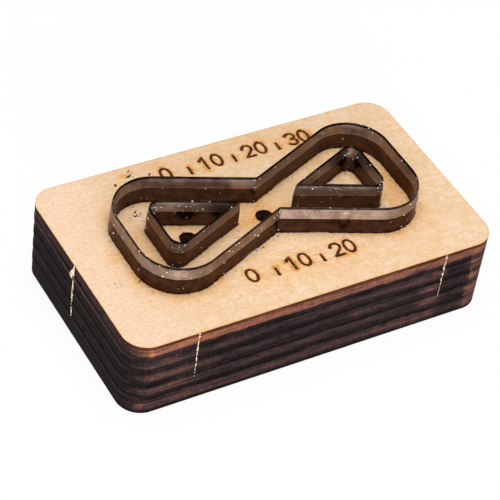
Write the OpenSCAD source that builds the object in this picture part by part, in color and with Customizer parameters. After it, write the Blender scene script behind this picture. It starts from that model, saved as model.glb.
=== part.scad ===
// Steel rule die for a bow-shaped blank with two windows.
// A laser-cut plywood board holds three bent strips of cutting rule, edge up.
// Frame: origin on the board's back face at its centre, X along the bow, Z up towards the cutting edges.

/* [Cutting outline] */
// Length of the bow along X, between cutting edges
outline_l = 60; // [54:0.5:80]
// Width of the bow along Y at its widest
outline_w = 26; // [24:0.5:36]
// Width of the bow at its waist
waist_w = 9.1; // [7:0.1:11]
// Radius of the four outer corners
outline_r = 8.25; // [6:0.25:9]
// Width of the band between the bow's edge and its windows
band_w = 6.7; // [6:0.05:7.5]
// Radius of the two round corners of each window
window_r = 2; // [1.5:0.1:3]
// How far the mitred corner of a window's strip reaches past its cutting line
tip_reach = 0.42; // [0.2:0.02:0.8]

/* [Steel rule] */
// Height of the rule from its foot to its cutting edge
rule_h = 23.8; // [22:0.1:26]
// Thickness of the strip
rule_t = 0.71; // [0.5:0.01:1]
// Height of the long bevel below the cutting edge
bevel_h = 2.7; // [1.5:0.1:4]
// Height of the honed second bevel at the cutting edge
hone_h = 0.55; // [0.3:0.05:1]
// Thickness of the strip where the honed bevel starts
hone_t = 0.26; // [0.15:0.01:0.35]
// Width of the flat left at the cutting edge
edge_t = 0.04; // [0.02:0.01:0.1]
// Radius of the bend at the waist, at the middle of the strip
bend_r = 0.8; // [0.6:0.1:3]

/* [Die board] */
// Width of board left around the bow
board_margin = 10; // [7:0.5:20]
// Thickness of the board
board_t = 17.5; // [15:0.5:19]
// Radius of the board's corners
board_r = 5; // [3:0.5:8]
// Thickness of each of the four cross-grain plies
cross_ply_t = 1.1; // [0.8:0.05:1.6]
// Thickness of each of the three long-grain plies between them
core_ply_t = 2.35; // [1.8:0.05:2.6]
// Thickness of the front face's ply, as sanded
face_ply_t = 2.7; // [2:0.05:3]
// How far the laser burns back the plies that it meets across the grain
burn_back = 0.12; // [0.05:0.01:0.3]

/* [Push-out holes] */
// Diameter of the push-out holes
push_d = 3.6; // [2:0.1:4.4]
// Distance of a window's push-out hole from the window's end
push_inset = 6.6; // [4:0.05:8]

/* [Bridges and fits] */
// Length of the wood left uncut across each slot
bridge_l = 4; // [2:0.25:5]
// Distance of the bow's bridges from its waist, along X
bow_bridge_x = 7.6; // [5:0.1:9]
// Distance of a window's bridges from the window's apex, along X
window_bridge_x = 6.65; // [5:0.05:8]
// Gap between a bridge and the notch in the rule that straddles it
notch_gap = 0.2; // [0.1:0.05:0.5]
// Gap between the rule and its slot, on each side
slot_gap = 0.03; // [0.01:0.01:0.1]
// Gap where the two ends of a strip meet
joint_gap = 0.06; // [0.02:0.01:0.2]
// Distance of the bow strip's butt joint from the waist, along X
joint_x = 12.7; // [11:0.1:15]

/* [Breakout nibs] */
// Width of the torn nibs that held the board in its sheet
nib_w = 0.45; // [0.3:0.05:1]
// How far a nib stands out from the board's edge
nib_out = 0.25; // [0.1:0.05:0.5]
// Height of a nib, down from the board's front face
nib_h = 11.7; // [5:0.1:14]
// Distance of the long sides' nibs from the board's ends
nib_inset = 12.9; // [10:0.1:20]
// Shift of the long sides' nibs along each side
nib_shift = 0.7; // [0:0.1:3]
// Shift of each short side's nib from the middle
nib_end_shift = 1.6; // [0:0.1:5]

/* [Hidden] */
$fn = 64;

plywood = "burlywood";
rule_steel = "dimgray";

// Cuts reach this far past the faces that they open.
past = 1;
// Largest turn between two stations of a bend, in degrees.
turn_step = 7;

// Board
board_l = outline_l + 2 * board_margin;
board_w = outline_w + 2 * board_margin;
cross_plies = 4;
ply_pitch = core_ply_t + cross_ply_t;
back_ply_t = board_t - face_ply_t - cross_plies * ply_pitch + core_ply_t;

// Bow: each wing edge runs from the waist to a tangent on the outer corner's arc.
half_l = outline_l / 2;
half_waist = waist_w / 2;
corner_x = half_l - outline_r;
corner_y = outline_w / 2 - outline_r;
corner_rise = corner_y - half_waist;
wing_a = atan2(corner_rise, corner_x) + asin(outline_r / norm([corner_x, corner_rise]));
bend_y = half_waist + bend_r / cos(wing_a);

// Windows: their sides lie one band inside the bow's edges and meet at a sharp apex on the X axis.
window_end = half_l - band_w;
window_apex = band_w * sin(wing_a) + (band_w * cos(wing_a) - half_waist) / tan(wing_a);
window_corner_x = window_end - window_r;
window_corner_y = (window_corner_x - window_apex) * tan(wing_a) - window_r / cos(wing_a);
push_x = window_end - push_inset;

// Slots and notches
slot_t = rule_t + 2 * slot_gap;
notch_l = bridge_l + 2 * notch_gap;
notch_h = board_t + notch_gap;
bow_bridge = [bow_bridge_x, half_waist + bow_bridge_x * tan(wing_a)];
window_bridge = [window_apex + window_bridge_x, window_bridge_x * tan(wing_a)];

// The strip's section: across the strip, then up from its foot to the cutting edge and down again.
half_section = [
    [rule_t / 2, 0],
    [rule_t / 2, rule_h - bevel_h],
    [hone_t / 2, rule_h - hone_h],
    [edge_t / 2, rule_h],
];
section = concat(
    half_section,
    [for (i = [len(half_section) - 1 : -1 : 0]) [-half_section[i].x, half_section[i].y]]
);

// A path is a list of stations: a point on the cutting line and the direction across the strip there.
// Stations of a bend around c from angle a to angle b, where out is -1 if the strip's outside faces c.
function bend(c, r, a, b, out = 1) =
    let (steps = ceil(abs(b - a) / turn_step))
    [for (i = [0 : steps]) let (t = a + (b - a) * i / steps, d = [cos(t), sin(t)]) [c + r * d, out * d]];

// A station on the front right wing at x from the waist.
function on_wing(x) = [[x, -half_waist - x * tan(wing_a)], [-sin(wing_a), -cos(wing_a)]];

// A station at the window's apex, where the sides are mitred, moved by y off the X axis.
function at_apex(y) = [[window_apex + abs(y) / tan(wing_a), y], [-1 / sin(wing_a), 0]];

// The bow, anticlockwise from its front right corner.
bow_path = concat(
    bend([corner_x, -corner_y], outline_r, -90 - wing_a, 0),
    bend([corner_x, corner_y], outline_r, 0, 90 + wing_a),
    bend([0, bend_y], bend_r, wing_a - 90, -wing_a - 90, -1),
    bend([-corner_x, corner_y], outline_r, 90 - wing_a, 180),
    bend([-corner_x, -corner_y], outline_r, 180, 270 + wing_a),
    bend([0, -bend_y], bend_r, 90 + wing_a, 90 - wing_a, -1)
);

// The right window, anticlockwise from its apex.
window_bends = concat(
    bend([window_corner_x, -window_corner_y], window_r, -90 - wing_a, 0),
    bend([window_corner_x, window_corner_y], window_r, 0, 90 + wing_a)
);
window_path = concat([at_apex(0)], window_bends);

// The strips' own paths, open where their two ends meet.
joint_half = joint_gap / 2 * cos(wing_a);
bow_strip = concat([on_wing(joint_x + joint_half)], bow_path, [on_wing(joint_x - joint_half)]);
window_strip = concat([at_apex(-joint_gap / 2)], window_bends, [at_apex(joint_gap / 2)]);

// A bent strip of rule: the section carried along the stations of an open path.
module strip(path) {
    n = len(section);
    last = n * (len(path) - 1);
    polyhedron(
        points = [for (s = path, p = section) [s[0].x + p.x * s[1].x, s[0].y + p.x * s[1].y, p.y]],
        faces = concat(
            [[for (j = [n - 1 : -1 : 0]) j]],
            [[for (j = [0 : n - 1]) last + j]],
            [for (i = [0 : n : last - n], j = [0 : n - 1]) let (k = (j + 1) % n) [i + j, i + k, i + n + k, i + n + j]]
        )
    );
}

// A slot of one width right through the board, along a closed path.
module slot(path) {
    translate([0, 0, -past])
        linear_extrude(board_t + 2 * past)
            difference() {
                polygon([for (s = path) s[0] + slot_t / 2 * s[1]]);
                polygon([for (s = path) s[0] - slot_t / 2 * s[1]]);
            }
}

// A block across a wing-side strip at a point, from under the board up to a height.
module bridge(at, length, height) {
    translate([at.x, at.y, -2 * past])
        rotate(wing_a)
            translate([-length / 2, -slot_t, 0])
                cube([length, 2 * slot_t, height + 2 * past]);
}

// Four blocks for the bow's bridges.
module bow_bridges(length, height) {
    for (x = [0, 1], y = [0, 1])
        mirror([x, 0, 0])
            mirror([0, y, 0])
                bridge(bow_bridge, length, height);
}

// Two blocks for the right window's bridges.
module window_bridges(length, height) {
    for (y = [0, 1])
        mirror([0, y, 0])
            bridge(window_bridge, length, height);
}

// Block that takes the point off the right window's mitred corner.
module blunt_tip() {
    translate([window_apex - tip_reach - slot_t / sin(wing_a), -slot_t, -past])
        cube([slot_t / sin(wing_a), 2 * slot_t, rule_h + 2 * past]);
}

// A rounded plate around the Z axis.
module plate(l, w, t) {
    x = l / 2 - board_r;
    y = w / 2 - board_r;
    linear_extrude(t) {
        square([l, 2 * y], center = true);
        square([2 * x, w], center = true);
        for (i = [-x, x], j = [-y, y])
            translate([i, j]) circle(board_r);
    }
}

// The glued plies: end grain is burnt back, at the short ends or along the long sides.
module plies() {
    long_l = board_l - 2 * burn_back;
    plate(long_l, board_w, back_ply_t);
    for (i = [1 : cross_plies - 1])
        translate([0, 0, back_ply_t + i * ply_pitch - core_ply_t]) plate(long_l, board_w, core_ply_t);
    translate([0, 0, board_t - face_ply_t]) plate(long_l, board_w, face_ply_t);
    for (i = [0 : cross_plies - 1])
        translate([0, 0, back_ply_t + i * ply_pitch]) plate(board_l, board_w - 2 * burn_back, cross_ply_t);
}

// One torn nib, standing out along -Y from an edge at the origin.
module nib() {
    translate([-nib_w / 2, -nib_out, board_t - nib_h]) cube([nib_w, nib_out + 2 * burn_back, nib_h]);
}

// The nibs around the board's edge, the same after half a turn.
module nibs() {
    nib_x = board_l / 2 - nib_inset;
    for (turn = [0, 180])
        rotate(turn) {
            for (x = [-nib_x, nib_x])
                translate([x + nib_shift, -board_w / 2, 0]) nib();
            translate([-board_l / 2, nib_end_shift, 0]) rotate(-90) nib();
        }
}

// Through-slots for the three strips, left uncut at the bridges.
module slots() {
    difference() {
        slot(bow_path);
        bow_bridges(bridge_l, board_t + 2 * past);
    }
    for (x = [0, 1])
        mirror([x, 0, 0])
            difference() {
                slot(window_path);
                window_bridges(bridge_l, board_t + 2 * past);
            }
}

// Three holes through which the cut pieces are pushed out.
module push_holes() {
    for (x = [-push_x, 0, push_x])
        translate([x, 0, -past]) cylinder(d = push_d, h = board_t + 2 * past);
}

// The laser-cut plywood that carries the strips.
module die_board() {
    color(plywood)
        difference() {
            union() {
                plies();
                nibs();
            }
            slots();
            push_holes();
        }
}

// The outer strip, bent to the bow, notched over its bridges and butted on the front right wing.
module bow_rule() {
    color(rule_steel)
        difference() {
            strip(bow_strip);
            bow_bridges(notch_l, notch_h);
        }
}

// A window's strip, bent at two corners, with its two ends mitred together at the apex.
module right_window_rule() {
    color(rule_steel)
        difference() {
            strip(window_strip);
            window_bridges(notch_l, notch_h);
            blunt_tip();
        }
}

module left_window_rule() {
    mirror([1, 0, 0])
        right_window_rule();
}

die_board();
bow_rule();
left_window_rule();
right_window_rule();
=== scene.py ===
import bpy
import numpy as np
from mathutils import Matrix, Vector
from mathutils.geometry import delaunay_2d_cdt


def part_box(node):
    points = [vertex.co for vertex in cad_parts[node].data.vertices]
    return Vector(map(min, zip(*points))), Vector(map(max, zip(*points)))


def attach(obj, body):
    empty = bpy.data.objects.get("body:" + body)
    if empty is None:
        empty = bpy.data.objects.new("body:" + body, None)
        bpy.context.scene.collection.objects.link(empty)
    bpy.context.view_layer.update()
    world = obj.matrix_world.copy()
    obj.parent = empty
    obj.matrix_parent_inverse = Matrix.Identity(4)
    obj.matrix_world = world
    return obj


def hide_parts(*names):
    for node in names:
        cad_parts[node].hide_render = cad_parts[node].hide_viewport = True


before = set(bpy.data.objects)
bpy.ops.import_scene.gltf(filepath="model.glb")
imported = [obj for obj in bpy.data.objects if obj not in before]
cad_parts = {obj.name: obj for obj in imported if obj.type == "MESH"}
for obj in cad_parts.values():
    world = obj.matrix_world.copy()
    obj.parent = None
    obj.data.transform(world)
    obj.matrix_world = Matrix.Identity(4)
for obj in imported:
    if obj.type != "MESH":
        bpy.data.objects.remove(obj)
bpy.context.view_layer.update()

# Sizes are in millimetres, and meshes are turned to metres as they are made.
MM = 0.001
QUARTER = np.pi / 2


def node_box(name):
    """A node's lowest and highest corners, in millimetres."""
    low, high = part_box(name)
    return np.array(low) / MM, np.array(high) / MM


# Cutting rule
rule_t = 0.71
bevel_h = 2.7
hone_h = 0.55
hone_t = 0.26
edge_t = 0.04
bend_r = 0.8
joint_gap = 0.06
joint_x = 12.7
tip_reach = 0.42
rule_h = node_box("bow_rule")[1][2]

# Bow and windows
half_l, half_w = node_box("bow_rule")[1][:2] - rule_t / 2
half_waist = 4.55
outline_r = 8.25
band_w = 6.7
window_r = 2.0

# Board
nib_out = 0.25
half_board_l, half_board_w, board_t = node_box("die_board")[1] - (nib_out, nib_out, 0)
board_r = 5.0
cross_plies = 4
cross_ply_t = 1.1
core_ply_t = 2.35
face_ply_t = 2.7
veneer_z = board_t - face_ply_t
back_ply_t = veneer_z - cross_plies * cross_ply_t - (cross_plies - 1) * core_ply_t
# Heights of the plies' faces, from the back face up
ply_z = np.cumsum([0, back_ply_t] + (cross_plies - 1) * [cross_ply_t, core_ply_t] + [cross_ply_t, face_ply_t])
burn_back = 0.12
rag_depth = 0.008
# How black each ply's edge is, from the back face up, on the long sides and at the short ends
side_tones = np.array((0.60, 0.88, 0.71, 0.86, 0.69, 0.89, 0.67, 0.82, 0.31))
end_tones = np.array((0.93, 0.80, 0.90, 0.80, 0.95, 0.76, 0.88, 0.60, 0.68))
# How much each ply shows where the edge is less burnt by the nibs, and on the right corner, where the
# paleness is painted light catching the corner's curve
warm_plies = np.array((0.4, 0.5, 1.5, 0.2, 1.2, 0.1, 0.4, 0.2, 0.25))
corner_light_plies = np.array((0.7, 1.3, 1.1, 0.5, 1.1, 1.0, 0.8, 0.5, 0.25))
warm_pale = 0.17
glue_dark = 0.12
# Barely burnt patches on the front left corner: place along the board and height
pale_patches = ((-36.0, 15.7), (-37.3, 1.7))
patch_half_w = 0.9
patch_half_h = 1.3
patch_pale = 0.24
# How black the walls of the slots are, and how much browner the holes' walls are
slot_tone = 0.86
hole_pale = 0.45

# Holes, slots, bridges and nibs
push_d = 3.6
push_inset = 6.6
slot_gap = 0.03
bridge_l = 4.0
bow_bridge_x = 7.6
window_bridge_x = 6.65
notch_gap = 0.2
nib_w = 0.45
nib_h = 11.7
end_nib_h = 13.3
nib_sunk = 0.05
nib_inset = 12.9
nib_shift = 0.7
nib_end_shift = 1.6

# Bow: each wing runs from the waist to a tangent on the outer corner's arc.
corner_x = half_l - outline_r
corner_y = half_w - outline_r
corner_rise = corner_y - half_waist
wing = np.arctan2(corner_rise, corner_x) + np.arcsin(outline_r / np.hypot(corner_x, corner_rise))
wing_run, wing_rise, wing_slope = np.cos(wing), np.sin(wing), np.tan(wing)
bend_y = half_waist + bend_r / wing_run

# Windows: their sides lie one band inside the bow and meet at an apex on the X axis.
window_end = half_l - band_w
window_apex = band_w * wing_rise + (band_w * wing_run - half_waist) / wing_slope
window_x = window_end - window_r
window_y = (window_x - window_apex) * wing_slope - window_r / wing_run
tip_x = window_apex - tip_reach
push_x = window_end - push_inset

# Fineness of the meshes
turn_step = np.radians(1.5)
edge_step = 0.3
veneer_step = 0.32
back_step = 0.55
mark_step = 0.13

# Laser marking
mark_h = 3.3
mark_stroke = 0.22
mark_depth = 0.34
digit_w = 0.6
digit_gap = 0.26
tick_h = 0.5


# Paths: each station is a point on the cutting line and the direction across the strip there

def bend(centre, radius, start, end, side=1.0):
    """Stations of a bend: points on a circle between two angles, facing out, or in where side is -1."""
    steps = int(np.ceil(abs(end - start) / turn_step))
    t = np.linspace(start, end, steps + 1)
    out = np.stack([np.cos(t), np.sin(t)], axis=1)
    return np.concatenate([np.array(centre) + radius * out, side * out], axis=1)


def lengths(path):
    """Distance along a path to each of its stations."""
    return np.concatenate([[0], np.cumsum(np.hypot(*np.diff(path[:, :2], axis=0).T))])


def stretch(path, start, end, step):
    """Part of a path between two distances along it: its own stations, with more set evenly between."""
    s = lengths(path)
    own = np.concatenate([[start], s[(s > start + 0.02) & (s < end - 0.02)], [end]])
    parts = np.ceil(np.diff(own) / step).astype(int)
    span = np.repeat(np.arange(len(parts)), parts)
    place = np.arange(parts.sum()) - np.repeat(np.cumsum(parts) - parts, parts)
    at = np.append(own[span] + np.diff(own)[span] * place / parts[span], end)
    return np.stack([np.interp(at, s, path[:, k]) for k in range(4)], axis=1)


def closed(path):
    """A path with its first station again at its end."""
    return np.concatenate([path, path[:1]])


def mirrored(path):
    """A path on the other side of the Y axis, turned so that it still runs anticlockwise."""
    return (path * (-1, 1, -1, 1))[::-1]


bow_line = closed(np.concatenate([
    bend((corner_x, -corner_y), outline_r, -QUARTER - wing, 0),
    bend((corner_x, corner_y), outline_r, 0, QUARTER + wing),
    bend((0, bend_y), bend_r, wing - QUARTER, -wing - QUARTER, -1),
    bend((-corner_x, corner_y), outline_r, QUARTER - wing, 2 * QUARTER),
    bend((-corner_x, -corner_y), outline_r, 2 * QUARTER, 3 * QUARTER + wing),
    bend((0, -bend_y), bend_r, QUARTER + wing, QUARTER - wing, -1),
]))
window_bends = np.concatenate([
    bend((window_x, -window_y), window_r, -QUARTER - wing, 0),
    bend((window_x, window_y), window_r, 0, QUARTER + wing),
])
window_line = closed(np.concatenate([[[window_apex, 0, -1 / wing_rise, 0]], window_bends]))
board_line = closed(np.concatenate([
    bend((x * (half_board_l - board_r), y * (half_board_w - board_r)), board_r, start, start + QUARTER)
    for x, y, start in ((1, 1, 0), (-1, 1, QUARTER), (-1, -1, 2 * QUARTER), (1, -1, 3 * QUARTER))
]))
bow_bridge_y = half_waist + bow_bridge_x * wing_slope
bow_bridges = [(x * bow_bridge_x, y * bow_bridge_y) for x in (-1, 1) for y in (-1, 1)]
window_bridges = [(window_apex + window_bridge_x, y * window_bridge_x * wing_slope) for y in (-1, 1)]


def reach(path, point):
    """Distance along a path to the place nearest to a point."""
    s = np.linspace(0, lengths(path)[-1], 40000)
    x, y = (np.interp(s, lengths(path), path[:, k]) for k in (0, 1))
    return s[np.argmin(np.hypot(x - point[0], y - point[1]))]


def uncut(path, bridges, length):
    """Start and end, along a path, of a length centred on each bridge."""
    middles = np.sort([reach(path, b) for b in bridges])
    return middles - length / 2, middles + length / 2


def slot_lines(path, bridges):
    """The stretches of a closed path between its bridges, where the laser cut right through."""
    total = lengths(path)[-1]
    twice = np.concatenate([path, path[1:]])
    starts, ends = uncut(path, bridges, bridge_l)
    return [stretch(twice, a, b, edge_step) for a, b in zip(ends, np.append(starts[1:], starts[0] + total))]


right_slots = slot_lines(window_line, window_bridges)
all_slots = slot_lines(bow_line, bow_bridges) + right_slots + [mirrored(p) for p in right_slots]


# Fields: what the laser and the saw left, worked out for whole arrays of points

def patches(x, y, size, seed, around=None):
    """Noise from -1 to 1: seeded values on a square lattice, eased between; it repeats after around."""
    wrap = 512 if around is None else max(2, int(round(around / size)))
    lattice = np.random.default_rng(seed).uniform(-1, 1, (wrap, 512))
    u = np.asarray(x) / (size if around is None else around / wrap)
    v = np.asarray(y) / size
    i, j = np.floor(u).astype(int), np.floor(v).astype(int)
    a, b = ease(u - i), ease(v - j)
    i0, i1, j0, j1 = i % wrap, (i + 1) % wrap, j % 512, (j + 1) % 512
    low = lattice[i0, j0] * (1 - a) + lattice[i1, j0] * a
    high = lattice[i0, j1] * (1 - a) + lattice[i1, j1] * a
    return low * (1 - b) + high * b


def ease(t):
    """Smooth step from 0 to 1."""
    t = np.clip(t, 0, 1)
    return t * t * (3 - 2 * t)


def full_turn(sides):
    """Angles of equal steps round a full turn."""
    return np.linspace(0, 4 * QUARTER, sides + 1)[:-1]


def fade(distance, full, gone):
    """1 up to one distance, falling smoothly to 0 at another."""
    return 1 - ease((distance - full) / (gone - full))


def nearest(points, targets, block=4000):
    """Distance from each point to the nearest target, from the squares and the product, a block at a time."""
    square = (targets ** 2).sum(axis=1)
    found = [(p ** 2).sum(axis=1) + (square - 2 * p @ targets.T).min(axis=1)
             for p in np.array_split(points, len(points) // block + 1)]
    return np.sqrt(np.maximum(np.concatenate(found), 0))


def drawn(line, step=0.06):
    """Points along a line of corners, a step apart."""
    line = np.asarray(line, float)
    s = lengths(line)
    at = np.linspace(0, s[-1], int(s[-1] / step) + 2)
    return np.stack([np.interp(at, s, line[:, k]) for k in (0, 1)], axis=1)


def oval(x, y, rx, ry, start, end):
    """Corners along an oval arc, in degrees."""
    t = np.radians(np.linspace(start, end, 25))
    return np.stack([x + rx * np.cos(t), y + ry * np.sin(t)], axis=1)


# Single-stroke digits in a cell one high
half_digit = digit_w / 2
digit_strokes = {
    "0": [oval(half_digit, 0.5, half_digit, 0.5, 90, 450)],
    "1": [[(0.1, 0.78), (0.36, 1), (0.36, 0)]],
    "2": [np.concatenate([oval(half_digit, 0.71, half_digit, 0.29, 165, -35), [(0, 0), (digit_w, 0)]])],
    "3": [oval(half_digit, 0.75, half_digit, 0.25, 150, -80),
          oval(half_digit, 0.26, half_digit, 0.26, 80, -150)],
}


def burnt_scale(first_x, foot_y, tens):
    """Strokes of a millimetre scale: a number every ten, and a tick half way between two numbers."""
    strokes = []
    for ten in range(tens + 1):
        number = str(10 * ten)
        width = len(number) * (digit_w + digit_gap) - digit_gap
        for place, digit in enumerate(number):
            corner = (first_x + 10 * ten + (place * (digit_w + digit_gap) - width / 2) * mark_h, foot_y)
            strokes += [np.array(stroke) * mark_h + corner for stroke in digit_strokes[digit]]
        if ten < tens:
            tick = np.array([(0, 0), (0, tick_h * mark_h)])
            strokes.append(tick + (first_x + 10 * ten + 5, foot_y))
    return strokes


scale_strokes = burnt_scale(-12.2, 16.5, 3) + burnt_scale(-10.2, -15.1, 2)
stroke_points = np.concatenate([drawn(s) for s in scale_strokes])
stroke_starts = np.array([s[0] for s in scale_strokes])
slot_points = np.concatenate([p[:, :2] for p in all_slots])
hole_places = np.array([(-push_x, 0), (0, 0), (push_x, 0)])


# Meshes

def piece(name, points, faces, finishes, node=None, finish_of_face=None, fields=None, sharp=None):
    """Makes one piece that rides on the die, from points in mm, with its finishes and per-point fields."""
    mesh = bpy.data.meshes.new(name)
    mesh.from_pydata((np.asarray(points) * MM).tolist(), [], faces, shade_flat=False)
    for finish in finishes:
        mesh.materials.append(finish)
    if finish_of_face is not None:
        mesh.polygons.foreach_set("material_index", np.asarray(finish_of_face, np.int32))
    for field, values in (fields or {}).items():
        mesh.attributes.new(field, "FLOAT", "POINT").data.foreach_set("value", np.asarray(values, np.float32))
    if sharp is not None:
        mesh.set_sharp_from_angle(angle=np.radians(sharp))
    mesh.update()
    made = bpy.data.objects.new(name, mesh)
    bpy.context.scene.collection.objects.link(made)
    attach(made, "root")
    if node:
        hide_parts(node)


def tube_faces(rings, around, start=0):
    """Quads round a tube of rings and a cap at each end; rings run anticlockwise from the far end."""
    index = start + np.arange(rings * around).reshape(rings, around)
    turned = np.roll(index, -1, axis=1)
    quads = np.stack([index[:-1], turned[:-1], turned[1:], index[1:]], axis=-1)
    return quads.reshape(-1, 4).tolist() + [index[0, ::-1].tolist(), index[-1].tolist()]


def cap(points, loops):
    """Triangles over the first loop, leaving out the others, through every point inside."""
    made = delaunay_2d_cdt(points.tolist(), [], [loop.tolist() for loop in loops], 1, 1e-7, True)
    return np.array([face for face, inside in zip(made[2], made[5]) if inside == [0]])


def slab(rings, inner_low, inner_high):
    """A closed slab: walls over rings of points at rising levels, capped through further points at both ends.
    The first ring is the outline and the others are holes. Returns points, faces and each face's kind:
    0 on the upper cap, 1 on the outline's wall, 2 on the holes' walls and 3 on the lower cap."""
    points, faces, kinds, low, high, start = [], [], [], [], [], 0
    for k, ring in enumerate(rings):
        index = start + np.arange(ring.shape[0] * ring.shape[1]).reshape(ring.shape[:2])
        ahead = np.roll(index, -1, axis=0)
        wall = np.stack([index[:, :-1], ahead[:, :-1], ahead[:, 1:], index[:, 1:]], axis=-1)
        wall = wall.reshape(-1, 4)
        faces += (wall if k == 0 else wall[:, ::-1]).tolist()
        kinds += [1 if k == 0 else 2] * len(wall)
        low.append(index[:, 0])
        high.append(index[:, -1])
        points.append(ring.reshape(-1, 3))
        start += index.size
    for loops, inner, turn, kind in ((low, inner_low, -1, 3), (high, inner_high, 1, 0)):
        index = np.concatenate(loops + [start + np.arange(len(inner))])
        points.append(inner)
        flat = np.concatenate(points)[index, :2]
        ends = np.cumsum([len(loop) for loop in loops])
        corners = index[cap(flat, [np.arange(e - len(loop), e) for loop, e in zip(loops, ends)])]
        faces += corners[:, ::turn].tolist()
        kinds += [kind] * len(corners)
        start += len(inner)
    return np.concatenate(points), faces, np.array(kinds)


# Plywood board

def ply_at(z):
    """The ply at each height, counted from the back face, and how far up that ply it is, from 0 to 1."""
    ply = np.clip(np.searchsorted(ply_z, z, side="right") - 1, 0, 2 * cross_plies)
    return ply, np.clip((z - ply_z[ply]) / np.diff(ply_z)[ply], 0, 1)


def ply_levels(low, high, lip=0.02, step=0.25):
    """Heights of wall points between two heights: rows in each ply, and a pair close to each glue line."""
    plies = [(a, b) for a, b in zip(ply_z[:-1], ply_z[1:]) if low - lip < a < high - lip]
    z = np.concatenate([np.linspace(a + lip, b - lip, int((b - a) / step) + 2) for a, b in plies])
    z[0], z[-1] = low, high
    return z


def burnt_edge(low, high):
    """The board's laser-cut edge between two heights. Each point is the outline moved in by a depth: the
    burn-back of end grain and a ragged skin. Tone is how black it is: each ply's own tone with borders that
    wander, darker at the glue lines, with broad clouds and streaks along the grain. The long sides are
    painted darker at their foot as the contact shadow where the board meets the floor."""
    around = lengths(board_line)[-1]
    outline = stretch(board_line, 0, around, edge_step)[:-1]
    s = lengths(outline)[:, None]
    z = ply_levels(low, high)[None]
    x, y, out_x, out_y = outline.T[:, :, None]
    on_end, on_front = out_x ** 2, out_y < -0.2

    def marks(length, height, seed):
        """Noise over the edge, in marks of a length and a height."""
        return patches(s / length, z / height, 1.0, seed, around / length)

    ply, _ = ply_at(np.clip(z, low + 0.01, high - 0.01))
    end_grain = np.where(ply % 2, out_y ** 2, on_end)
    ragged = marks(0.6, 0.6, 3)
    depth = burn_back * end_grain + rag_depth * (2 + ragged + marks(0.45, 9, 1))
    wander = 0.07 * marks(6, 50, 4) + 0.04 * marks(1.2, 2, 7)
    seen, within = ply_at(z + wander)
    border = ease(2.2 * np.abs(within - 0.5) - 0.1) ** 2
    # Painted contact shadow: the long sides' foot is darkened where the board meets the floor.
    foot_painted_shadow = 0.3 * (1 - on_end) * fade(z + wander, 0.5, 1.3)
    pale_rim = 0.22 * on_end * fade(board_t - z + wander, 0.5, 1.1)
    clouds = 0.07 * patches(s, 5 * seen + 0.1 * z, 7.0, 5, around)
    streaks = 0.08 * marks(8, 0.3, 8)
    flecks = 0.06 * marks(1.1, 0.55, 6)
    dashes = 0.13 * fade(marks(3, 0.22, 9), -0.75, -0.45)
    cracks = 0.13 * fade(marks(14, 0.3, 10), -0.6, -0.4)
    tone = side_tones[seen] * (1 - on_end) + end_tones[seen] * on_end + glue_dark * border
    tone = tone + foot_painted_shadow - pale_rim + clouds + streaks + flecks + dashes + cracks
    # Paler where less burnt by the nibs, and painted paler at the right corner as light catching its curve.
    tone = tone - warm_pale * on_front * warmth(x + 0.6 * ragged, seen, border)
    for patch_x, patch_z in pale_patches:
        away = np.hypot((x - patch_x) / patch_half_w, (z - patch_z) / patch_half_h) + 0.3 * ragged
        tone = tone - patch_pale * on_front * fade(away, 0.0, 1.2)
    points = np.stack(np.broadcast_arrays(x - depth * out_x, y - depth * out_y, z), axis=-1)
    return points, np.clip(tone, 0, 1)


def warmth(x, ply, border):
    """How much paler the front edge is at x: less burnt around the nibs, more on some plies and less at the
    plies' borders near the nibs. The right corner is painted paler, as light catching its curve from the
    right. Soot lies between the right nib and its corner."""
    left_nib = 0.8 * fade(np.abs(x + 32), 2.5, 8)
    right_nib = fade(np.abs(x - 25.5), 1, 3.5)
    soot = 0.4 * fade(np.abs(x - 31), 1.5, 3)
    # Painted light: the curved right corner is made paler, as if it catches light from the right.
    corner = 1.8 * fade(36 - x, 1.3, 1.7)
    by_nibs = (left_nib + right_nib) * warm_plies[ply] * (1 - 0.8 * border)
    return by_nibs + corner * corner_light_plies[ply] - soot


def slot_ring(line, seed, low, high):
    """A slot's wall: both sides of its line, burnt wider by a ragged amount, at a low and a high level."""
    s = lengths(line)
    side = rule_t / 2 + slot_gap
    rag = [0.01 + 0.05 * patches(s, 3 * k + 0 * s, 0.45, seed) ** 2 for k in (0, 1)]
    outer = line[:, :2] + (side + rag[0])[:, None] * line[:, 2:]
    inner = line[:, :2] - (side + rag[1])[:, None] * line[:, 2:]
    loop = np.concatenate([outer, inner[::-1]])
    return levels_of(loop, low, high)


def hole_ring(place, seed, low, high):
    """A push-out hole's wall: a circle burnt slightly out of round."""
    t = full_turn(72)
    r = push_d / 2 + 0.04 * patches(t, 0 * t, 0.5, seed, 4 * QUARTER)
    loop = np.array(place) + r[:, None] * np.stack([np.cos(t), np.sin(t)], axis=1)
    return levels_of(loop, low, high)


def levels_of(loop, low, high):
    """A loop of points at two heights."""
    return np.stack([at_height(loop, z) for z in (low, high)], axis=1)


def inside_grid(step, seed, low=(-half_board_l, -half_board_w), high=(half_board_l, half_board_w)):
    """Jittered grid points between two corners on the board's face, clear of its edge, slots and holes."""
    x, y = np.meshgrid(np.arange(low[0], high[0], step), np.arange(low[1], high[1], step))
    spread = np.random.default_rng(seed).uniform(-0.25, 0.25, (x.size, 2)) * step
    grid = np.stack([x.ravel(), y.ravel()], axis=1) + spread
    corner = np.maximum(np.abs(grid) - (half_board_l - board_r, half_board_w - board_r), 0)
    keep = np.hypot(*corner.T) < board_r - burn_back - 0.1 - 0.5 * step
    keep &= nearest(grid, slot_points) > rule_t / 2 + slot_gap + 0.11 + 0.4 * step
    keep &= nearest(grid, hole_places) > push_d / 2 + 0.05 + 0.4 * step
    return grid[keep]


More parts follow.
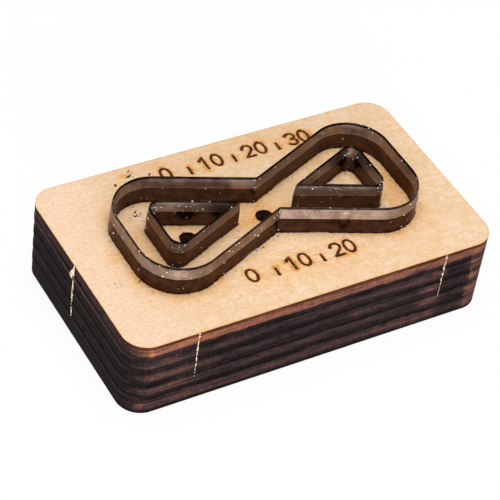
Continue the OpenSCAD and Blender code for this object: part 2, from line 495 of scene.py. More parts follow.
def face_grid():
    """Points of the front face: an even grid, closer together around the burnt scales."""
    margin = 0.9
    coarse = inside_grid(veneer_step, 11)
    grids = [coarse[nearest(coarse, stroke_points) > margin + 0.1]]
    for row in (stroke_points[:, 1] > 0, stroke_points[:, 1] < 0):
        points = stroke_points[row]
        fine = inside_grid(mark_step, 12, points.min(axis=0) - margin, points.max(axis=0) + margin)
        grids.append(fine[nearest(fine, points) < margin])
    return np.concatenate(grids)


def edge_depth(x, y):
    """How far each point lies inside the board's rounded outline."""
    corner = np.stack([np.abs(x) - half_board_l, np.abs(y) - half_board_w]) + board_r
    return board_r - np.hypot(*np.maximum(corner, 0)) - np.minimum(corner.max(axis=0), 0)


def burns(points, marked):
    """How charred and scorched each point of a face is, and how deep its marking is: black near a cut, golden
    brown further out. By the left end's foot the marked face also holds a painted brownish glow of light
    reflected from the steel. A face that isn't marked has only its cuts."""
    flat = points[:, :2]
    x, y = flat.T
    rough = patches(x, y, 0.35, 21)
    cloud = patches(x, y, 2.2, 22)
    smoky = ease(0.5 + 1.2 * patches(x, y, 6.0, 23))
    slot_d = nearest(flat, slot_points) - rule_t / 2 - slot_gap
    hole_d = nearest(flat, hole_places) - push_d / 2
    cut_d = np.minimum(slot_d, hole_d)
    no_mark = np.full(len(points), np.inf)
    mark_d = nearest(flat, stroke_points) if marked else no_mark
    start_d = nearest(flat, stroke_starts) if marked else no_mark
    burn_d = np.minimum(cut_d, mark_d)
    groove = np.maximum(fade(mark_d, mark_stroke - 0.06, mark_stroke + 0.06), fade(start_d, 0.28, 0.44))
    cut_char = 0.8 * fade(cut_d + 0.2 * rough, -0.03, 0.12)
    mark_char = fade(mark_d + 0.05 * rough, 0.17, 0.34)
    start_char = fade(start_d + 0.1 * rough, 0.3, 0.5)
    char = np.maximum(np.maximum(cut_char, mark_char), start_char)
    cut_scorch = (0.02 + 0.11 * smoky) * fade(cut_d + 0.6 * cloud, 0.1, 1.3)
    mark_scorch = (0.2 + 0.26 * smoky) * fade(mark_d + 0.5 * cloud, 0.2, 1.1)
    mark_rim = 0.95 * fade(mark_d + 0.12 * rough, 0.22, 0.46)
    stain = 0.38 * fade(np.hypot((x + 19.8) / 2.4, y - 20.6) + 0.4 * rough, 0.2, 1.1)
    # Painted reflected light: a brownish glow on the wood outside the left end's foot, where the steel
    # reflects light onto it.
    left_end_reflected_glow = 0.15 * fade(np.hypot(x + 32.2, (y - 0.6) / 2.4) + 0.3 * cloud, 0.1, 1.3)
    bow_ends = 0.22 * fade(np.hypot((np.abs(x) - 26.5) / 3.2, y / 8) + 0.25 * cloud, 0.6, 1.3)
    waist = 0.2 * fade(np.hypot(x / 7, y / 4.2) + 0.25 * cloud, 0.5, 1.2)
    board_rim = 0.28 * fade(edge_depth(x, y) + 0.1 * rough, 0.05, 0.4)
    spots = (stain + left_end_reflected_glow + bow_ends + waist) * marked + board_rim
    # Scorch, with the painted reflected glow by the left end's foot among the spots.
    scorch_and_reflected_glow = np.maximum(np.maximum(cut_scorch, mark_scorch), np.maximum(mark_rim, spots))
    glow = (0.04 + 0.12 * smoky) * fade(burn_d + 1.2 * cloud, 0.5, 5.0)
    sooty = 0.6 * np.maximum(rough - 0.2, 0) * fade(burn_d, 0.4, 3.5)
    return char, np.clip(scorch_and_reflected_glow + glow + sooty, 0, 1), groove


def board_slab(name, low, high, inner_low, inner_high, finishes, kinds_to_finish):
    """One glued layer of the board, with its slots, holes and burnt edge."""
    edge, edge_tones = burnt_edge(low, high)
    rings = [edge]
    rings += [slot_ring(line, 31 + k, low, high) for k, line in enumerate(all_slots)]
    rings += [hole_ring(place, 51 + k, low, high) for k, place in enumerate(hole_places)]
    points, faces, kinds = slab(rings, inner_low, inner_high)
    marked = high == board_t
    char, scorch_and_reflected_glow, groove = burns(points, marked)
    tones = slot_tone + 0.12 * patches(points[:, 0], points[:, 1], 0.8, 24)
    tones -= hole_pale * (nearest(points[:, :2], hole_places) < push_d / 2 + 0.1)
    tones[:edge_tones.size] = edge_tones.ravel()
    on_top = np.arange(len(points)) >= len(points) - len(inner_high)
    points[:, 2] -= mark_depth * groove * on_top * marked
    fields = {"char": char, "scorch_and_reflected_glow": scorch_and_reflected_glow, "tone": tones}
    finish_of_face = np.array(kinds_to_finish)[kinds]
    piece(name, points, faces, finishes, "die_board", finish_of_face, fields, sharp=35)


def at_height(flat, z):
    """Flat points at one height, or each at its own."""
    return np.insert(flat, 2, z, axis=1)


# Cutting rule

half_section = np.array([
    (rule_t / 2, 0),
    (rule_t / 2, rule_h - bevel_h),
    (hone_t / 2, rule_h - hone_h),
    (edge_t / 2, rule_h),
])
section = np.concatenate([half_section, half_section[::-1] * (-1, 1)])
# Finish of the face after each corner of the section: 0 body, 1 bevel, 2 honed edge
section_finish = np.array([0, 1, 2, 2, 2, 1, 0, 0])


def rails(path):
    """The section's corners along a path, from above: each station's point moved across to the corner."""
    return path[:, None, :2] + section[None, :, :1] * path[:, None, 2:]


def strip(name, flat, s, notches, finishes):
    """A bent strip of rule: the section carried along its stations, with its foot raised over the bridges."""
    height = np.broadcast_to(section[:, 1], flat.shape[:2]).copy()
    raised = np.zeros(len(s), bool)
    for start, end in zip(*notches):
        raised |= (s > start) & (s < end)
    height[raised] = np.maximum(height[raised], board_t + notch_gap)
    points = np.concatenate([flat, height[..., None]], axis=2).reshape(-1, 3)
    # The section runs the other way round the path than a tube's rings do.
    faces = [face[::-1] for face in tube_faces(len(s), len(section))]
    finish_of_face = np.append(np.tile(section_finish, len(s) - 1), [0, 0])
    fields = {"along": np.repeat(s, len(section))}
    piece(name, points, faces, finishes, name, finish_of_face, fields, sharp=4)


def with_notch_ends(path, notches, step=2.0):
    """A path's stations with a close pair at each end of each notch, where the foot steps up."""
    cuts = np.sort(np.concatenate([ends + shift for ends in notches for shift in (-0.01, 0.01)]))
    s = lengths(stretch(path, 0, lengths(path)[-1], step))
    s = s[np.abs(s[:, None] - cuts).min(axis=1) > 0.03]
    s = np.sort(np.concatenate([s, cuts]))
    return s, np.stack([np.interp(s, lengths(path), path[:, k]) for k in range(4)], axis=1)


def bow_strip(finishes):
    """The outer strip, from one side of its butt joint on the front right wing all round to the other."""
    total = lengths(bow_line)[-1]
    joint = reach(bow_line, (joint_x, -half_waist - joint_x * wing_slope))
    twice = np.concatenate([bow_line, bow_line[1:]])
    path = stretch(twice, joint + joint_gap / 2, joint + total - joint_gap / 2, 2.0)
    notches = uncut(path, bow_bridges, bridge_l + 2 * notch_gap)
    s, path = with_notch_ends(path, notches)
    strip("bow_rule", rails(path), s, notches, finishes)


def window_strip(name, side, finishes):
    """A window's strip: both its ends are mitred at the apex on the X axis, and its tip is cut off square."""
    back = joint_gap / 2
    least = 0.02
    ends = np.array([(window_apex + back / wing_slope, y * back, -1 / wing_rise, 0) for y in (-1, 1)])
    path = np.concatenate([ends[:1], window_bends, ends[1:]])
    notches = uncut(path, window_bridges, bridge_l + 2 * notch_gap)
    s, path = with_notch_ends(path, notches)
    flat = rails(path)
    # Each end has two stations: where the outer wall meets the square tip, and on the mitre itself.
    for end, y in ((0, -1), (-1, 1)):
        mitre = flat[end].copy()
        beyond = np.maximum(tip_x - mitre[:, :1], least)
        flat[end] = mitre + beyond * (1, y * wing_slope)
        mitre[:, 0] = np.maximum(mitre[:, 0], tip_x)
        flat = np.concatenate([mitre[None], flat] if end == 0 else [flat, mitre[None]])
        s = np.concatenate([s[:1] - least, s] if end == 0 else [s, s[-1:] + least])
    if side < 0:
        flat = (flat * (-1, 1))[::-1]
        total = s[0] + s[-1]
        s, notches = (total - s)[::-1], (total - notches[1], total - notches[0])
    strip(name, flat, s, notches, finishes)


# Torn fibres, crumbs and dust

def torn_nib(name, place, out, low, high, seed):
    """A torn nib on the board's edge: a ridge whose half-oval section swells and drifts with height."""
    rings, sides = 150, 12
    foot_l, head_l, knot_drop = 7.0, 0.3, 0.9
    out = np.array(out, float)
    across = np.array((out[1], -out[0]))
    z = np.linspace(low, high, rings)[:, None]
    t = full_turn(sides)[None]

    def uneven(size, seed):
        """Noise along the nib."""
        return patches(z, 0 * z, size, seed)

    taper = (0.3 + 0.7 * ease((z - low) / foot_l)) * (0.45 + 0.55 * ease((high - z) / head_l))
    taper = taper * (1 + 0.8 * fade(np.abs(high - knot_drop - z), 0.15, 0.6))
    width = nib_w / 2 * taper * np.maximum(0.4 + 0.6 * uneven(0.3, seed), 0.12)
    stand = nib_out * np.minimum(taper, 1) * np.maximum(0.5 + 0.5 * uneven(0.3, seed + 1), 0.15)
    side = 0.05 * uneven(1.6, seed + 2) + width * np.cos(t)
    raised = np.where(np.sin(t) > 0, stand, nib_out) * np.sin(t)
    flat = np.array(place) + side[..., None] * across + raised[..., None] * out
    points = np.concatenate([flat, np.broadcast_to(z, side.shape)[..., None]], axis=2).reshape(-1, 3)
    piece(name, points, tube_faces(rings, sides), [torn_birch_fibre], sharp=60)


def fibres(name, roots, tips, thick):
    """Torn fibres: thin closed tubes of three rings, each tapering from its root to its tip."""
    way = tips - roots
    way /= np.linalg.norm(way, axis=1)[:, None]
    flat = np.cross(way, (0.1, 0.2, 1))
    flat /= np.linalg.norm(flat, axis=1)[:, None]
    upper = np.cross(way, flat)
    sides = 4
    t = full_turn(sides)[:, None]
    ring = np.cos(t) * flat[:, None] + np.sin(t) * upper[:, None]
    # Each ring's place from root to tip, and its share of the thickness
    steps = ((0, 0.9), (0.5, 1.0), (1, 0.2))
    rings = [roots[:, None] + place * (tips - roots)[:, None] + share * thick[:, None, None] * ring
             for place, share in steps]
    points = np.stack(rings, axis=1).reshape(-1, 3)
    starts = range(0, len(points), len(steps) * sides)
    faces = [face for start in starts for face in tube_faces(len(steps), sides, start)]
    piece(name, points, faces, [torn_birch_fibre], sharp=60)


def lifted_fibres(per_bridge, seed):
    """Fibres lifted by the strips along both sides of every bridge: they lean out from the rule and up."""
    rng = np.random.default_rng(seed)
    right = [(x, y, -wing_rise, wing_run * np.sign(y)) for x, y in window_bridges]
    bow = [(x, y, -np.sign(x) * wing_rise, wing_run * np.sign(y)) for x, y in bow_bridges]
    at = np.concatenate([bow, right, np.array(right) * (-1, 1, -1, 1)])
    at = np.repeat(at, per_bridge, axis=0)
    count = len(at)
    along = np.stack([at[:, 3], -at[:, 2]], axis=1)
    out = rng.choice((-1, 1), count)[:, None] * at[:, 2:]
    slide = rng.uniform(-bridge_l / 2, bridge_l / 2, (count, 1))
    clear = rule_t / 2 + rng.uniform(0.02, 0.12, (count, 1))
    slant = rng.normal(0, 0.25, (count, 1))
    lean = rng.uniform(0.05, 0.3, (count, 1))
    rise = rng.uniform(0.04, 0.26, count)
    thick = rng.uniform(0.02, 0.05, count)
    root = at[:, :2] + slide * along + clear * out
    tips = np.column_stack([root + slant * along + lean * out, board_t + rise])
    fibres("lifted_fibres", at_height(root, board_t - 0.02), tips, thick)


def torn_splinter():
    """A splinter torn aside at the left nib: a few strands that fan out and down from one root."""
    root = np.array((-half_board_l, nib_end_shift + 0.1, board_t - 0.9))
    fan = np.linspace(0, 1, 7)[:, None]
    tips = root + np.array((-0.22, 0.15, -2.6)) + fan * (-0.01, 1.0, 0.5)
    fibres("torn_splinter", np.repeat(root[None], len(fan), axis=0), tips, np.full(len(fan), 0.16))


def grains(name, places, sizes, flatness, seed, finish):
    """Loose grains: lumpy closed balls of five rings with seeded radii, one round each place."""
    rng = np.random.default_rng(seed)
    count, rings, sides = len(places), 5, 6
    lat = np.linspace(-QUARTER, QUARTER, rings)[:, None]
    lon = full_turn(sides)[None]
    wide = np.maximum(np.cos(lat), 0.25)
    ball = np.stack(np.broadcast_arrays(wide * np.cos(lon), wide * np.sin(lon), np.sin(lat)), axis=-1)
    lumps = rng.uniform(0.6, 1.2, (count, rings, sides, 1)) * ball * np.reshape(sizes, (-1, 1, 1, 1))
    turn = rng.uniform(0, 4 * QUARTER, (count, 1, 1))
    long = rng.uniform(1, 2.2, (count, 1, 1))
    x, y, z = lumps[..., 0] * long, lumps[..., 1], lumps[..., 2] * flatness
    turned_x = x * np.cos(turn) - y * np.sin(turn)
    turned_y = x * np.sin(turn) + y * np.cos(turn)
    points = np.asarray(places)[:, None, None, :] + np.stack([turned_x, turned_y, z], axis=-1)
    starts = range(0, count * rings * sides, rings * sides)
    faces = [face for start in starts for face in tube_faces(rings, sides, start)]
    piece(name, points.reshape(-1, 3), faces, [finish], sharp=50)


# Crumbs large enough to see one by one: place and size
large_crumbs = (
    (-19.5, 20.1, 0.42), (-22.9, 18.8, 0.3), (-15.3, 19.2, 0.26), (-18.6, 21.6, 0.24), (-22.8, 10.5, 0.24),
    (-23.2, 9.4, 0.22), (-22.0, 9.9, 0.18), (-6.2, -7.9, 0.2), (-4.5, -7.6, 0.2),
)
# Patches of smaller crumbs: middle, spread and the part of the count that lies there
crumb_patches = (
    ((-22.8, 9.8), (1.4, 1.0), 8), ((-20, 20.2), (1.5, 0.6), 20), ((-34, -6.5), (1.0, 2.0), 20),
)
# Where dust gathers on the strips
dusty_places = np.array([(-14.5, 3.2), (13.5, -3.0), (-11.0, -9.2)])


def crumb_places(count, seed):
    """Places on the board's face for char crumbs: most lie close to the rules, and some in patches in the
    left wing, by the back left corner's stain and at the left end."""
    rng = np.random.default_rng(seed)
    flat = [slot_points[rng.integers(0, len(slot_points), count)] + rng.normal(0, 1.0, (count, 2))]
    for middle, spread, part in crumb_patches:
        flat.append(np.array(middle) + rng.normal(0, 1, (count // part, 2)) * spread)
    flat = np.concatenate(flat)
    clear = nearest(flat, slot_points) > rule_t / 2 + 0.25
    clear &= nearest(flat, hole_places) > push_d / 2 + 0.2
    clear &= (np.abs(flat) < (half_board_l - 1, half_board_w - 1)).all(axis=1)
    return at_height(np.concatenate([flat[clear], np.array(large_crumbs)[:, :2]]), board_t)


def dust_places(count, seed):
    """Places for dust on both sides of the strips, clear of the tips: a random station, side and height."""
    rng = np.random.default_rng(seed)
    bow, window = (stretch(line, 0, lengths(line)[-1], 0.5) for line in (bow_line, window_line))
    lines = np.concatenate([bow, window, mirrored(window)])
    # The direction across is longest on a window's mitre.
    mitre_across = 2.4
    lines = lines[np.hypot(lines[:, 2], lines[:, 3]) < mitre_across]
    gathers = 1 + 3 * fade(nearest(lines[:, :2], dusty_places), 2, 6)
    at = lines[rng.choice(len(lines), count, p=gathers / gathers.sum())]
    on_bevel = rng.random(count) < 0.65
    bevel_z = rng.uniform(rule_h - bevel_h - 0.3, rule_h - 0.2, count)
    any_z = rng.uniform(board_t + 0.3, rule_h, count)
    z = np.where(on_bevel, bevel_z, any_z)
    half = np.interp(z, half_section[:, 1], half_section[:, 0]) * rng.choice((-1, 1), count)
    return at_height(at[:, :2] + half[:, None] * at[:, 2:], z)


# Materials

def linear(code):
    """An sRGB hex colour as linear red, green, blue and alpha."""
    value = np.array([int(code[k:k + 2], 16) for k in (1, 3, 5)]) / 255
    return (*np.where(value <= 0.04045, value / 12.92, ((value + 0.055) / 1.055) ** 2.4), 1.0)


def add(tree, kind, inputs=None, stops=None, out=0, **settings):
    """Adds one node with its settings, inputs and colour stops, and gives one of its outputs. An input is a
    value, a hex colour or the output that feeds it."""
    made = tree.nodes.new("ShaderNode" + kind)
    for name, value in settings.items():
        setattr(made, name, value)
    for key, value in (inputs or {}).items():
        if isinstance(value, bpy.types.NodeSocket):
            tree.links.new(value, made.inputs[key])
        else:
            made.inputs[key].default_value = linear(value) if isinstance(value, str) else value
    if stops:
        ramp = made.color_ramp.elements
        while len(ramp) < len(stops):
            ramp.new(1.0)
        for element, (position, colour) in zip(ramp, stops):
            element.position = position
            element.color = linear(colour)
    return made.outputs[out]


def start_material(name, roughness=0.5, metallic=0.0):
    """A new material with its tree, its shader and its object coordinates in millimetres."""
    material = bpy.data.materials.new(name)
    material.use_nodes = True
    tree = material.node_tree
    shader = tree.nodes["Principled BSDF"]
    shader.inputs["Roughness"].default_value = roughness
    shader.inputs["Metallic"].default_value = metallic
    place = add(tree, "TexCoord", out="Object")
    in_mm = add(tree, "VectorMath", {0: place, "Scale": 1 / MM}, operation="SCALE")
    return material, tree, shader, in_mm


def make_sanded_birch():
    """Birch face veneer, sanded: pale peach with faint long grain, short pore lines and soft clouds, and
    golden scorching and black char where the laser passed, with a painted brownish glow of light reflected
    from the steel by the left end's foot."""
    grain_w, grain_l = 0.7, 14.0
    cloud_size = 16.0
    pale_from, pale_to = 36.0, 20.0
    # Spots: length, width, detail, roughness, the noise where they start and are full, and their share
    mottles = (2.2, 2.2, 4.0, 0.6, 0.42, 0.68, 1.0)
    specks = (0.9, 0.5, 3.0, 0.7, 0.44, 0.70, 0.7)
    pores = (2.4, 0.16, 2.0, 0.5, 0.60, 0.72, 0.45)
    material, tree, shader, place = start_material("sanded_birch_veneer", roughness=0.62)
    shader.inputs["Specular IOR Level"].default_value = 0.3
    stretch_by = (1 / grain_l, 1 / grain_w, 1 / grain_w)
    along = add(tree, "VectorMath", {0: place, 1: stretch_by}, operation="MULTIPLY")
    grain = add(tree, "TexNoise", {"Vector": along, "Scale": 1.0, "Detail": 5.0, "Distortion": 0.6})
    tones = [(0.30, "#e9cba9"), (0.47, "#efd2b3"), (0.60, "#f2d8bd"), (0.75, "#f5ddc6")]
    wood = add(tree, "ValToRGB", {"Fac": grain}, tones)
    clouds = add(tree, "TexNoise", {"Vector": place, "Scale": 1 / cloud_size, "Detail": 3.0})
    cloud = add(tree, "MapRange", {"Value": clouds, "From Min": 0.38, "From Max": 0.66})
    tint = {0: cloud, 6: wood, 7: "#f3d0a6"}
    tinted = add(tree, "Mix", tint, out=2, data_type="RGBA", blend_type="MULTIPLY")
    wood = add(tree, "Mix", {0: 0.25, 6: wood, 7: tinted}, out=2, data_type="RGBA")
    shares = []
    for length, width, detail, rough, start, full, share in (mottles, specks, pores):
        stretch_by = (1 / length, 1 / width, 1 / width)
        way = add(tree, "VectorMath", {0: place, 1: stretch_by}, operation="MULTIPLY")
        spots = add(tree, "TexNoise", {"Vector": way, "Scale": 1.0, "Detail": detail, "Roughness": rough})
        limits = {"Value": spots, "From Min": start, "From Max": full, "To Max": share}
        shares.append(add(tree, "MapRange", limits))
    mottle, speck, pore = shares
    across = add(tree, "SeparateXYZ", {0: place}, out="X")
    limits = {"Value": across, "From Min": -pale_from, "From Max": -pale_to, "To Min": 0.7, "To Max": 0.0}
    pale = add(tree, "MapRange", limits)
    layers = ((mottle, "#e6c18f"), (pale, "#f2d4ba"), (speck, "#dbb085"), (pore, "#d3a678"))
    for share, colour in layers:
        wood = add(tree, "Mix", {0: share, 6: wood, 7: colour}, out=2, data_type="RGBA")
    fleck = add(tree, "TexNoise", {"Vector": along, "Scale": 3.0, "Detail": 6.0, "Roughness": 0.7})
    limits = {"Value": fleck, "From Min": 0.30, "From Max": 0.70, "To Min": 0.45, "To Max": 1.25}
    uneven = add(tree, "MapRange", limits)
    scorch_and_reflected_glow, char = (add(tree, "Attribute", out="Fac", attribute_name=field) for field in ("scorch_and_reflected_glow", "char"))
    burnt = add(tree, "Math", {0: scorch_and_reflected_glow, 1: uneven}, operation="MULTIPLY")
    tones = [(0.0, "#ffffff"), (0.35, "#fbe3b8"), (0.7, "#dc9c58"), (1.0, "#8a4018")]
    gold = add(tree, "ValToRGB", {"Fac": burnt}, tones)
    toasted = add(tree, "Mix", {0: 1.0, 6: wood, 7: gold}, out=2, data_type="RGBA", blend_type="MULTIPLY")
    ragged = add(tree, "Math", {0: char, 1: uneven}, operation="MULTIPLY")
    black = add(tree, "MapRange", {"Value": ragged, "From Min": 0.18, "From Max": 0.75})
    soot = add(tree, "ValToRGB", {"Fac": fleck}, [(0.35, "#170d09"), (0.7, "#3c2113")])
    colour = add(tree, "Mix", {0: black, 6: toasted, 7: soot}, out=2, data_type="RGBA")
    tree.links.new(colour, shader.inputs["Base Color"])
    bump = add(tree, "Bump", {"Height": grain, "Strength": 0.25, "Distance": 0.05 * MM})
    tree.links.new(bump, shader.inputs["Normal"])
    return material


def make_charred_edge():
    """Plywood edge cut by laser: charred brown to black by ply, with streaks along the grain, flecks of soot,
    a browner rim under the face and a dull sheen."""
    fleck_size = 0.6
    rim_low, rim_high = 1.0, 0.7
    # Streaks and upright lines: length along the board, height, detail and roughness
    streaks = (6.0, 0.3, 4.0, 0.65)
    lines = (0.25, 3.0, 2.0, 0.5)
    material, tree, shader, place = start_material("laser_charred_ply_edge", roughness=0.7)
    shader.inputs["Specular IOR Level"].default_value = 0.04
    made = []
    for length, height, detail, rough in (streaks, lines):
        stretch_by = (1 / length, 1 / length, 1 / height)
        way = add(tree, "VectorMath", {0: place, 1: stretch_by}, operation="MULTIPLY")
        marks = {"Vector": way, "Scale": 1.0, "Detail": detail, "Roughness": rough}
        made.append(add(tree, "TexNoise", marks))
    streak, line = made
    fleck = {"Vector": place, "Scale": 1 / fleck_size, "Detail": 4.0, "Roughness": 0.7}
    grainy = add(tree, "Math", {0: streak, 1: add(tree, "TexNoise", fleck)}, operation="ADD")
    texture = add(tree, "Math", {0: line, 1: 0.8, 2: grainy}, operation="MULTIPLY_ADD")
    limits = {"Value": texture, "From Min": 1.0, "From Max": 1.8, "To Min": -0.16, "To Max": 0.16}
    tone = add(tree, "Attribute", out="Fac", attribute_name="tone")
    level = add(tree, "Math", {0: tone, 1: add(tree, "MapRange", limits)}, operation="ADD")
    tones = [(0.0, "#b0744a"), (0.25, "#82523f"), (0.5, "#51352f"), (0.66, "#342627"), (0.8, "#231919"),
             (0.9, "#1a1111"), (1.0, "#110c0c")]
    burnt = add(tree, "ValToRGB", {"Fac": level}, tones)
    height = add(tree, "SeparateXYZ", {0: place}, out="Z")
    limits = {"Value": height, "From Min": board_t - rim_low, "From Max": board_t - rim_high}
    rim = {0: add(tree, "MapRange", limits), 6: burnt, 7: "#c0a482"}
    browned = add(tree, "Mix", rim, out=2, data_type="RGBA", blend_type="MULTIPLY")
    tree.links.new(browned, shader.inputs["Base Color"])
    bump = add(tree, "Bump", {"Height": texture, "Strength": 0.4, "Distance": 0.08 * MM})
    tree.links.new(bump, shader.inputs["Normal"])
    return material


def make_torn_fibre():
    """Birch torn by hand where the board was broken out: pale straw fibres that run along the tear."""
    fibre_w, fibre_l = 0.12, 0.5
    material, tree, shader, place = start_material("torn_birch_fibre", roughness=0.8)
    stretch_by = (1 / fibre_w, 1 / fibre_w, 1 / fibre_l)
    way = add(tree, "VectorMath", {0: place, 1: stretch_by}, operation="MULTIPLY")
    strands = add(tree, "TexNoise", {"Vector": way, "Scale": 1.0, "Detail": 3.0})
    tones = [(0.34, "#6b4a38"), (0.44, "#c4a07e"), (0.56, "#ecd6b8"), (0.7, "#faf0e0")]
    tree.links.new(add(tree, "ValToRGB", {"Fac": strands}, tones), shader.inputs["Base Color"])
    return material


def make_rule_metal(name, dark, light, rough_low, rough_high, line_w, brushed):
    """Cutting rule steel: its colour is painted reflection, darkened and browned to stand for the wood and
    dim surroundings it mirrors; streaks along the strip change that tone and its gloss, and fine lines along
    it spread reflections up and down. It stays brown where it is seen at a slant."""
    streak_l, blot_size = 9.0, 1.6
    spread = 0.14
    material, tree, shader, place = start_material(name, metallic=1.0)
    shader.inputs["Specular Tint"].default_value = linear("#dcd2ca")
    shader.inputs["Anisotropic"].default_value = brushed
    facing = add(tree, "NewGeometry", out="Normal")
    level_way = add(tree, "VectorMath", {0: (0, 0, 1), 1: facing}, operation="CROSS_PRODUCT")
    upright = add(tree, "VectorMath", {0: facing, 1: level_way}, operation="CROSS_PRODUCT")
    tree.links.new(upright, shader.inputs["Tangent"])
    along = add(tree, "Attribute", out="Fac", attribute_name="along")
    height = add(tree, "SeparateXYZ", {0: place}, out="Z")
    far = add(tree, "Math", {0: along, 1: 1 / streak_l}, operation="MULTIPLY")
    up = add(tree, "Math", {0: height, 1: 1 / line_w}, operation="MULTIPLY")
    lie = add(tree, "CombineXYZ", {"X": far, "Y": up})
    streaks = add(tree, "TexNoise", {"Vector": lie, "Scale": 1.0, "Detail": 5.0, "Roughness": 0.6})
    blots = add(tree, "TexNoise", {"Vector": place, "Scale": 1 / blot_size, "Detail": 4.0})
    both = add(tree, "Math", {0: streaks, 1: blots}, operation="ADD")
    half = add(tree, "Math", {0: both, 1: 0.5}, operation="MULTIPLY")
    colour = add(tree, "ValToRGB", {"Fac": half}, [(0.5 - spread, dark), (0.5 + spread, light)])
    tree.links.new(colour, shader.inputs["Base Color"])
    limits = {"Value": half, "From Min": 0.35, "From Max": 0.65, "To Min": rough_low, "To Max": rough_high}
    tree.links.new(add(tree, "MapRange", limits), shader.inputs["Roughness"])
    bump = add(tree, "Bump", {"Height": streaks, "Strength": 0.3, "Distance": 0.01 * MM})
    tree.links.new(bump, shader.inputs["Normal"])
    return material


def make_grain(name, dark, light, roughness):
    """Loose grains of char or dust, each a little lighter or darker than the next."""
    tones_per_mm = 1.2
    material, tree, shader, place = start_material(name, roughness=roughness)
    tone = add(tree, "TexNoise", {"Vector": place, "Scale": tones_per_mm, "Detail": 2.0})
    colour = add(tree, "ValToRGB", {"Fac": tone}, [(0.35, dark), (0.65, light)])
    tree.links.new(colour, shader.inputs["Base Color"])
    return material


sanded_birch = make_sanded_birch()
charred_edge = make_charred_edge()
torn_birch_fibre = make_torn_fibre()
# Hardened strip, ground bright on its bevels and stoned at the edge. Its brown tones are painted
# reflection, darkened to stand for the wood and dim surroundings the steel mirrors: lighter on the bevels,
# and near black on the honed edge, which is painted as a dark reflected line.
rule_finishes = [
    make_rule_metal("rule_steel_painted_brown_reflection", "#2b211d", "#553f36", 0.17, 0.27, 1.2, 0.3),
    make_rule_metal("ground_rule_bevel", "#7b685d", "#a49186", 0.31, 0.43, 0.25, 0.5),
    # Painted dark reflection: the honed edge is coloured near black so that it shows as a dark line.
    make_rule_metal("honed_cutting_edge", "#2a201d", "#42352f", 0.22, 0.32, 0.2, 0.5),
]
char_grain = make_grain("laser_char_crumb", "#1a110d", "#4a2c1a", 0.9)
dust_grain = make_grain("pale_workshop_dust", "#d8cfc4", "#f4efe8", 0.9)

# Board: the face veneer with its burnt scales, and the eight plies under it
hidden = np.empty((0, 3))
front_points = at_height(face_grid(), board_t)
back_points = at_height(inside_grid(back_step, 13), 0)
board_finishes = [sanded_birch, charred_edge]
board_slab("face_veneer", veneer_z, board_t, hidden, front_points, board_finishes, (0, 1, 1, 1))
board_slab("core_plies", 0, veneer_z, back_points, hidden, board_finishes, (1, 1, 1, 0))

# Strips
bow_strip(rule_finishes)
window_strip("right_window_rule", 1, rule_finishes)
window_strip("left_window_rule", -1, rule_finishes)

# Nibs, the same after half a turn
nib_x = half_board_l - nib_inset
nib_top = board_t - nib_sunk
for half_turn, where in ((1, "front"), (-1, "back")):
    for x, end in ((-nib_x, "left"), (nib_x, "right")):
        place = half_turn * np.array((x + nib_shift, nib_sunk - half_board_w))
        torn_nib(f"torn_nib_{where}_{end}", place, (0, -half_turn), board_t - nib_h, nib_top, 61 + int(x))
    place = half_turn * np.array((nib_sunk - half_board_l, nib_end_shift))
    torn_nib(f"torn_nib_{where}_end", place, (-half_turn, 0), board_t - end_nib_h, nib_top, 81)
torn_splinter()
lifted_fibres(16, 97)

# Loose grains
crumbs = crumb_places(300, 91)
crumb_sizes = 0.03 + 0.13 * np.random.default_rng(92).random(len(crumbs)) ** 3
crumb_sizes[-len(large_crumbs):] = np.array(large_crumbs)[:, 2]
grains("char_crumbs", crumbs, crumb_sizes, 0.5, 93, char_grain)
dust = dust_places(640, 94)
dust_sizes = 0.05 + 0.1 * np.random.default_rng(95).random(len(dust)) ** 2
grains("dust_on_rules", dust, dust_sizes, 1.0, 96, dust_grain)


# Floor, light and camera

def make_floor():
    """A wide pale floor, seen as white, that keeps a soft shadow."""
    reach_out = 3.0
    white_share = 0.92
    mesh = bpy.data.meshes.new("studio_floor")
    corners = [(x * reach_out, y * reach_out, 0) for x, y in ((-1, -1), (1, -1), (1, 1), (-1, 1))]
    mesh.from_pydata(corners, [], [(0, 1, 2, 3)])
    floor = bpy.data.objects.new("studio_floor", mesh)
    bpy.context.scene.collection.objects.link(floor)
    material, tree, shader, _ = start_material("white_studio_paper", roughness=0.9)
    shader.inputs["Base Color"].default_value = (0.9, 0.9, 0.9, 1)
    white = add(tree, "Emission", {"Color": (1, 1, 1, 1), "Strength": 1.0})
    share = add(tree, "Math", {0: seen_as_white(tree), 1: white_share}, operation="MULTIPLY")
    mixed = add(tree, "MixShader", {0: share, 1: shader.outputs[0], 2: white})
    tree.links.new(mixed, tree.nodes["Material Output"].inputs["Surface"])
    mesh.materials.append(material)


def seen_as_white(tree):
    """1 for rays from the camera and through gloss and glass, 0 for light that falls on the object."""
    path = add(tree, "LightPath").node.outputs
    seen = path["Is Camera Ray"]
    for ray in ("Is Glossy Ray", "Is Transmission Ray"):
        seen = add(tree, "Math", {0: seen, 1: path[ray]}, operation="MAXIMUM")
    return seen


def make_world(level):
    """A plain white surround that lights the object at a level and is seen as white."""
    world = bpy.data.worlds.new("white_surround")
    bpy.context.scene.world = world
    world.use_nodes = True
    tree = world.node_tree
    light = tree.nodes["Background"]
    light.inputs["Color"].default_value = (1, 1, 1, 1)
    light.inputs["Strength"].default_value = level
    white = add(tree, "Background", {"Color": (1, 1, 1, 1), "Strength": 1.0})
    mixed = add(tree, "MixShader", {0: seen_as_white(tree), 1: light.outputs[0], 2: white})
    tree.links.new(mixed, tree.nodes["World Output"].inputs["Surface"])


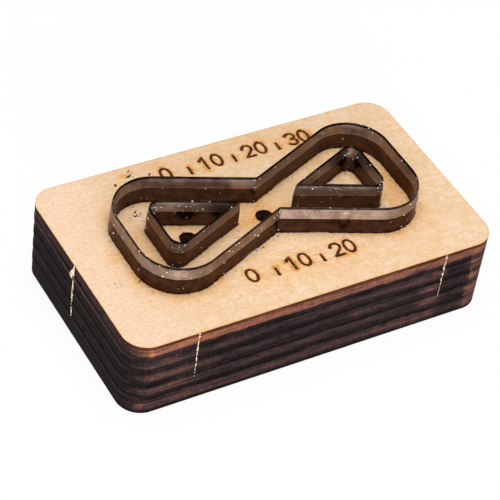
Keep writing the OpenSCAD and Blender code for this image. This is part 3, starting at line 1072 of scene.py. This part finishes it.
def make_lamp(name, place, size, power):
    """A square soft box that faces the middle of the board's face."""
    lamp = bpy.data.lights.new(name, "AREA")
    lamp.shape = "SQUARE"
    lamp.size = size
    lamp.energy = power
    held = bpy.data.objects.new(name, lamp)
    bpy.context.scene.collection.objects.link(held)
    back = np.array(place, float)
    back /= np.linalg.norm(back)
    right = np.cross((0, 1, 0), back)
    right /= np.linalg.norm(right)
    up = np.cross(back, right)
    turn = Matrix(np.stack([right, up, back], axis=1).tolist()).to_4x4()
    held.matrix_world = Matrix.Translation(place) @ turn


def make_camera():
    """The photograph's camera: turned about the board, raised, rolled and aimed at a point on its face."""
    azimuth, elevation, roll = np.radians((-34.954, 42.997, -8.699))
    target = np.array((-7.26, -7.26, board_t))
    distance = 386.34
    focal_px, frame_px = 2033.4, 500
    level = np.cos(elevation)
    back = np.array((np.sin(azimuth) * level, -np.cos(azimuth) * level, np.sin(elevation)))
    right = np.cross(-back, (0, 0, 1))
    right /= np.linalg.norm(right)
    down = np.cross(-back, right)
    rolled_right = np.cos(roll) * right + np.sin(roll) * down
    rolled_down = np.cos(roll) * down - np.sin(roll) * right
    lens = bpy.data.cameras.new("photo_camera")
    lens.sensor_width = 36
    lens.lens = focal_px / frame_px * lens.sensor_width
    lens.clip_start = 0.01
    camera = bpy.data.objects.new("photo_camera", lens)
    bpy.context.scene.collection.objects.link(camera)
    turn = Matrix(np.stack([rolled_right, -rolled_down, back], axis=1).tolist()).to_4x4()
    camera.matrix_world = Matrix.Translation((target + distance * back) * MM) @ turn
    bpy.context.scene.camera = camera


make_floor()
make_world(0.22)
make_lamp("soft_box_top", (0.02, 0.04, 0.8), 0.45, 4.25)
make_lamp("soft_box_right", (-0.02, -0.41, 0.69), 0.45, 0.85)
make_lamp("soft_box_left", (-0.59, -0.18, 0.51), 0.4, 0.6)
make_lamp("soft_box_low", (-0.19, -0.75, 0.11), 0.2, 3.8)
make_lamp("soft_box_low_left", (-0.45, -0.62, 0.1), 0.2, 1.8)
make_camera()
bpy.context.scene.view_settings.view_transform = "Standard"
